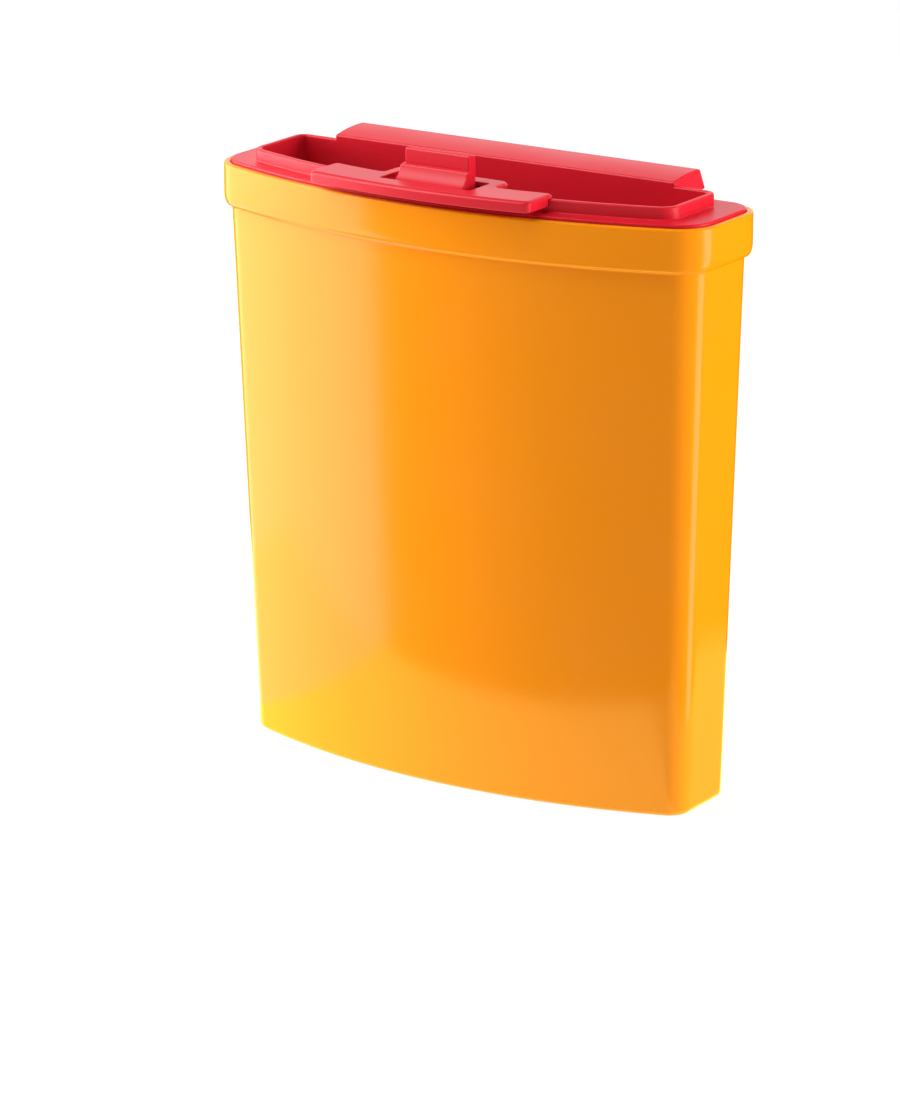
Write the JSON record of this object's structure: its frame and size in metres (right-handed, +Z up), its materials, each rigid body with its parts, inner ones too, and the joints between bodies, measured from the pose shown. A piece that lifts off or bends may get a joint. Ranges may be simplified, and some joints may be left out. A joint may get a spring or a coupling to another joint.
{
  "type": "sharps container with needle remover",
  "caption": "Flat-backed sharps bin with a bowed front, a lid with a wide collared opening, a rear hook and a thumb-pressed needle remover.",
  "frame": {"origin": "on the standing surface, under the middle of the whole object's box", "axes": "+Z up; the bowed front faces -Y and the flat back +Y; +X to the right as seen from the front"},
  "size_m": [0.184, 0.0716, 0.21],
  "materials": {
    "bin_plastic": "glossy moulded polypropylene, warm yellow",
    "lid_plastic": "semi-gloss moulded polypropylene, signal red",
    "stainless_sheet": "brushed",
    "pin_steel": "ground and drawn steel",
    "spring_steel": "drawn wire and pressed sheet"
  },
  "bodies": {
    "bin": {"container_body": "bin_plastic"},
    "lid_body": {"lid": "lid_plastic", "remover_plate": "lid_plastic", "pivot_pin": "pin_steel", "pin_clips": "spring_steel", "return_spring": "spring_steel"},
    "lever_body": {"lever": "lid_plastic", "stripper_plate": "stainless_sheet", "stripper_rivets": "pin_steel"}
  },
  "joints": [
    {"name": "lid_lift", "type": "slide", "parent": "bin", "child": "lid_body", "axis": [0, 0, 1], "range_m": [0, 0.05]},
    {"name": "lever_press", "type": "hinge", "parent": "lid_body", "child": "lever_body", "pos_m": [0, -0.0131, 0.1967], "axis": [1, 0, 0], "range_deg": [0, 18], "stiffness_Nm_per_rad": 0.3, "springref_deg": -8.59, "deforming": ["return_spring"]}
  ]
}
